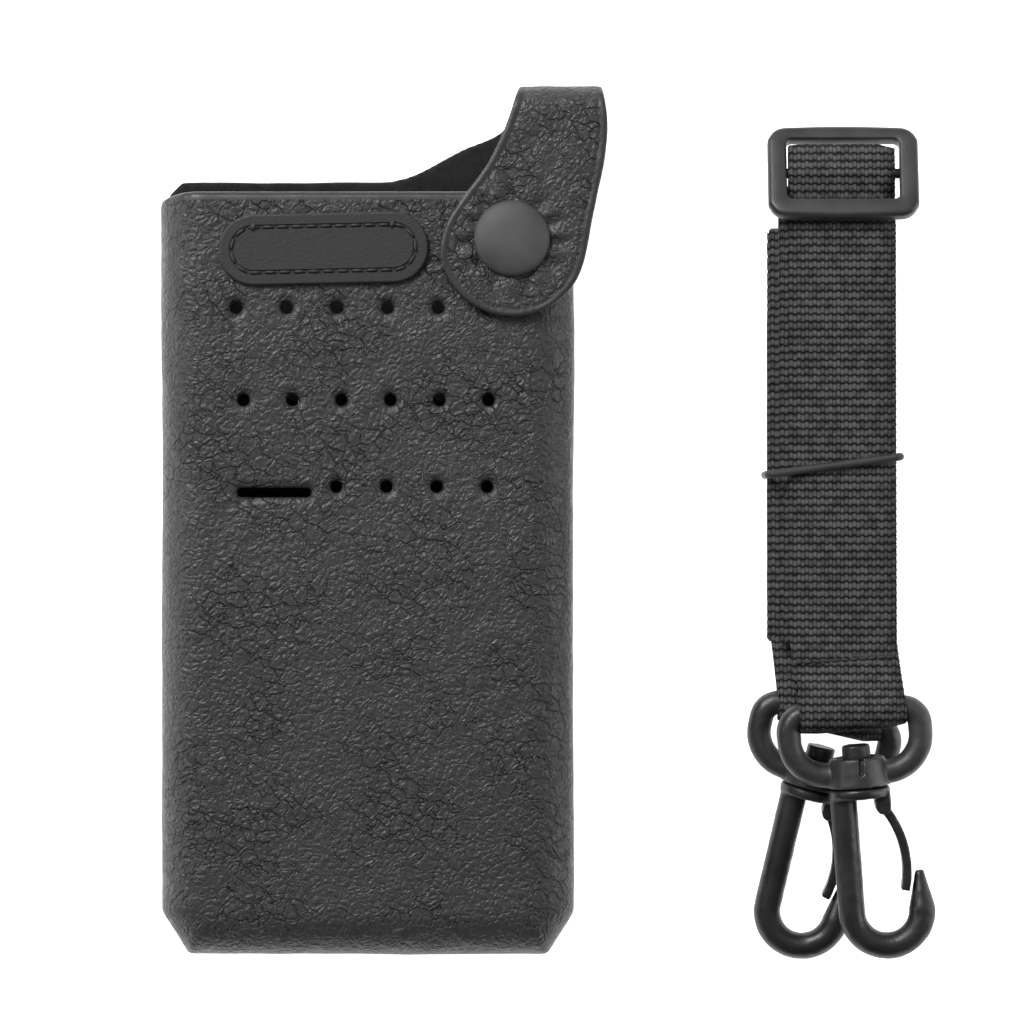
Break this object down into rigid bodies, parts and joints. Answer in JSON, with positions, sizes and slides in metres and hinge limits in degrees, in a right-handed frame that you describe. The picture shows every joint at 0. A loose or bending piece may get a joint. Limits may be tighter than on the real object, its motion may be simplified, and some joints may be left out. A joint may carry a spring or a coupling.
{
  "type": "pocket radio carry case",
  "caption": "Black leather carry case for a pocket radio, with a snap keeper strap, belt loop and a folded webbing shoulder strap with swivel hooks.",
  "frame": {"origin": "on the belt loop's outer face, under the middle of the case, on the surface that the case lies on", "axes": "+X across the case towards the strap, +Y from the base to the mouth, +Z out of the case's front"},
  "size_m": [0.1461, 0.1651, 0.0441],
  "materials": {
    "case_leather": "grained, satin",
    "badge_leather": "smooth, satin",
    "lining": "matte",
    "thread": "matte",
    "snap_metal": "matte black",
    "ring_steel": "satin black",
    "webbing": "woven",
    "band_rubber": "matte",
    "slider_metal": "matte black",
    "cast_fitting": "satin black",
    "gate_steel": "satin black"
  },
  "bodies": {
    "case": {"body_shell": "case_leather", "pouch_lining": "lining", "back_panel": "case_leather", "back_lining": "lining", "badge": "badge_leather", "badge_stitches": "thread", "snap_stud": "snap_metal", "belt_loop": "case_leather", "ring_tab_left": "case_leather", "ring_tab_right": "case_leather", "ring_tab_rivet_left": "snap_metal", "ring_tab_rivet_right": "snap_metal", "belt_loop_rivet_1": "snap_metal", "belt_loop_rivet_2": "snap_metal", "belt_loop_rivet_3": "snap_metal", "belt_loop_rivet_4": "snap_metal"},
    "keeper_bridge": {"keeper_bridge": "case_leather"},
    "keeper_end": {"keeper_flap": "case_leather", "snap_cap": "snap_metal", "snap_socket": "snap_metal"},
    "d_ring_left": {"d_ring_left": "ring_steel"},
    "d_ring_right": {"d_ring_right": "ring_steel"},
    "strap": {"webbing": "webbing"},
    "band": {"rubber_band": "band_rubber"},
    "slider": {"slider": "slider_metal"},
    "front_eye": {"eye_front": "cast_fitting"},
    "front_hook": {"hook_front": "cast_fitting"},
    "front_gate": {"gate_front": "gate_steel"},
    "rear_eye": {"eye_rear": "cast_fitting"},
    "rear_hook": {"hook_rear": "cast_fitting"},
    "rear_gate": {"gate_rear": "gate_steel"}
  },
  "joints": [
    {"name": "keeper_fold", "type": "hinge", "parent": "case", "child": "keeper_bridge", "pos_m": [0.035, 0.086, 0.007], "axis": [-1, 0, 0], "range_deg": [0, 90]},
    {"name": "keeper_lift", "type": "hinge", "parent": "keeper_bridge", "child": "keeper_end", "pos_m": [0.035, 0.091, 0.0367], "axis": [-1, 0, 0], "range_deg": [0, 120]},
    {"name": "d_ring_left_swing", "type": "hinge", "parent": "case", "child": "d_ring_left", "pos_m": [-0.0186, 0.056, 0.0045], "axis": [1, 0, 0], "range_deg": [0, 150]},
    {"name": "d_ring_right_swing", "type": "hinge", "parent": "case", "child": "d_ring_right", "pos_m": [0.0186, 0.056, 0.0045], "axis": [1, 0, 0], "range_deg": [0, 150]},
    {"name": "strap_lift", "type": "slide", "parent": "case", "child": "strap", "axis": [0, 0, 1], "range_m": [0, 0.12]},
    {"name": "band_slide", "type": "slide", "parent": "strap", "child": "band", "axis": [0, 1, 0], "range_m": [-0.025, 0.03]},
    {"name": "slider_tilt", "type": "hinge", "parent": "strap", "child": "slider", "pos_m": [0.0898, 0.0759, 0.0163], "axis": [-1, 0, 0], "range_deg": [0, 40]},
    {"name": "front_ring_swing", "type": "hinge", "parent": "strap", "child": "front_eye", "pos_m": [0.0917, -0.026, 0.01595], "axis": [-0.9969, -0.0785, 0], "range_deg": [0, 90]},
    {"name": "front_swivel", "type": "hinge", "parent": "front_eye", "child": "front_hook", "pos_m": [0.093, -0.04253, 0.01508], "axis": [0.0784, -0.9956, -0.0523], "range_deg": [0, 180]},
    {"name": "front_gate", "type": "hinge", "parent": "front_hook", "child": "front_gate", "pos_m": [0.09744, -0.04408, 0.01498], "axis": [-0.0041, 0.0522, -0.9986], "range_deg": [0, 16], "stiffness_Nm_per_rad": 0.02, "springref_deg": -5.73},
    {"name": "rear_ring_swing", "type": "hinge", "parent": "strap", "child": "rear_eye", "pos_m": [0.0877, -0.0268, 0.00773], "axis": [0.9744, -0.225, 0], "range_deg": [0, 90]},
    {"name": "rear_swivel", "type": "hinge", "parent": "rear_eye", "child": "rear_hook", "pos_m": [0.08399, -0.04289, 0.006], "axis": [0.2237, 0.969, 0.1045], "range_deg": [0, 180]},
    {"name": "rear_gate", "type": "hinge", "parent": "rear_hook", "child": "rear_gate", "pos_m": [0.08775, -0.04569, 0.0058], "axis": [0.0235, 0.1018, -0.9945], "range_deg": [0, 16], "stiffness_Nm_per_rad": 0.02, "springref_deg": -5.73}
  ]
}
